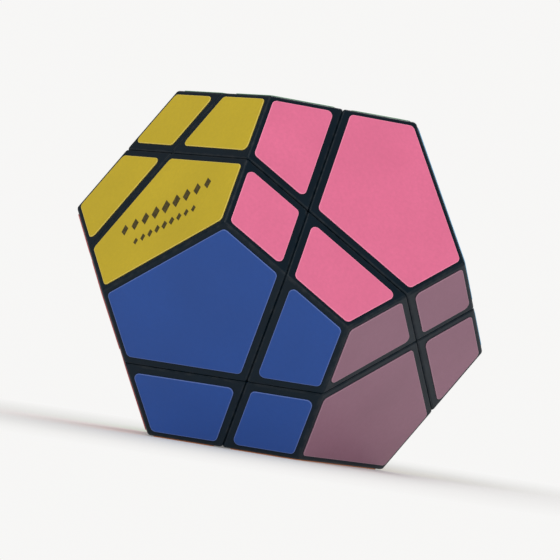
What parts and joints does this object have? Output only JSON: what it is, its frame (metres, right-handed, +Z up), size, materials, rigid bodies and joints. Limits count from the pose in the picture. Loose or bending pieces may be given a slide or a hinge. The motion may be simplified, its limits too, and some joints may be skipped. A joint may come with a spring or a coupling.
{
  "type": "dodecahedron twisty puzzle",
  "caption": "Dodecahedron twisty puzzle with deep cuts through its centre: sprung axis corners, free corners and edge pieces turn as halves round a core.",
  "frame": {"origin": "centre of the puzzle, where the turning axes cross", "axes": "+Z up, the puzzle resting on one pentagon; -Y towards the front, where a lower pentagon looks forward and down; the half_turn axis lies in the YZ plane and points up and forward"},
  "size_m": [0.0706, 0.0742, 0.06],
  "materials": {
    "cap_plastic": "semi-gloss black moulded ABS",
    "foot_plastic": "satin black moulded ABS, slightly greased",
    "core_plastic": "natural nylon",
    "print_ink": "matt printing ink",
    "steel": "zinc-plated steel",
    "sticker_blue": "blue vinyl sticker, satin",
    "sticker_pink": "pink vinyl sticker, satin",
    "sticker_yellow": "yellow vinyl sticker, satin",
    "sticker_purple": "purple vinyl sticker, satin",
    "sticker_red": "red vinyl sticker, satin",
    "sticker_orange": "orange vinyl sticker, satin",
    "sticker_green": "green vinyl sticker, satin",
    "sticker_lime": "lime vinyl sticker, satin",
    "sticker_light_blue": "light blue vinyl sticker, satin",
    "sticker_white": "white vinyl sticker, satin",
    "sticker_cream": "cream vinyl sticker, satin",
    "sticker_grey": "grey vinyl sticker, satin"
  },
  "bodies": {
    "lower_half": {"core": "core_plastic", "axis_screw_1": "steel", "axis_screw_2": "steel", "axis_screw_3": "steel", "axis_screw_4": "steel", "axis_washer_1": "steel", "axis_washer_2": "steel", "axis_washer_3": "steel", "axis_washer_4": "steel", "axis_spring_1": "steel", "axis_spring_2": "steel", "axis_spring_3": "steel", "axis_spring_4": "steel", "edge_piece_1_cap": "cap_plastic", "edge_piece_1_foot": "foot_plastic", "edge_piece_4_cap": "cap_plastic", "edge_piece_4_foot": "foot_plastic", "edge_piece_6_cap": "cap_plastic", "edge_piece_6_foot": "foot_plastic", "free_corner_2_cap": "cap_plastic", "free_corner_2_foot": "foot_plastic"},
    "upper_half": {"edge_piece_2_cap": "cap_plastic", "edge_piece_2_foot": "foot_plastic", "edge_piece_3_cap": "cap_plastic", "edge_piece_3_foot": "foot_plastic", "edge_piece_5_cap": "cap_plastic", "edge_piece_5_foot": "foot_plastic", "free_corner_1_cap": "cap_plastic", "free_corner_1_foot": "foot_plastic", "free_corner_3_cap": "cap_plastic", "free_corner_3_foot": "foot_plastic", "free_corner_4_cap": "cap_plastic", "free_corner_4_foot": "foot_plastic"},
    "axis_corner_1": {"axis_corner_1_cap": "cap_plastic", "axis_corner_1_foot": "foot_plastic"},
    "axis_corner_2": {"axis_corner_2_cap": "cap_plastic", "axis_corner_2_foot": "foot_plastic"},
    "axis_corner_3": {"axis_corner_3_cap": "cap_plastic", "axis_corner_3_foot": "foot_plastic"},
    "axis_corner_4": {"axis_corner_4_cap": "cap_plastic", "axis_corner_4_foot": "foot_plastic"}
  },
  "joints": [
    {"name": "half_turn", "type": "hinge", "parent": "lower_half", "child": "upper_half", "pos_m": [0, 0, 0], "axis": [0, -0.6071, 0.7947], "continuous": true},
    {"name": "corner_1_lift", "type": "slide", "parent": "upper_half", "child": "axis_corner_1", "axis": [0, -0.6071, 0.7947], "range_m": [0, 0.0008], "stiffness_N_per_m": 300, "springref_m": -0.002, "deforming": ["axis_spring_1"]},
    {"name": "corner_2_lift", "type": "slide", "parent": "lower_half", "child": "axis_corner_2", "axis": [-0.5774, 0.7947, 0.1876], "range_m": [0, 0.0008], "stiffness_N_per_m": 300, "springref_m": -0.002, "deforming": ["axis_spring_2"]},
    {"name": "corner_3_lift", "type": "slide", "parent": "lower_half", "child": "axis_corner_3", "axis": [0.9342, 0.3035, -0.1876], "range_m": [0, 0.0008], "stiffness_N_per_m": 300, "springref_m": -0.002, "deforming": ["axis_spring_3"]},
    {"name": "corner_4_lift", "type": "slide", "parent": "lower_half", "child": "axis_corner_4", "axis": [-0.3568, -0.4911, -0.7947], "range_m": [0, 0.0008], "stiffness_N_per_m": 300, "springref_m": -0.002, "deforming": ["axis_spring_4"]}
  ]
}
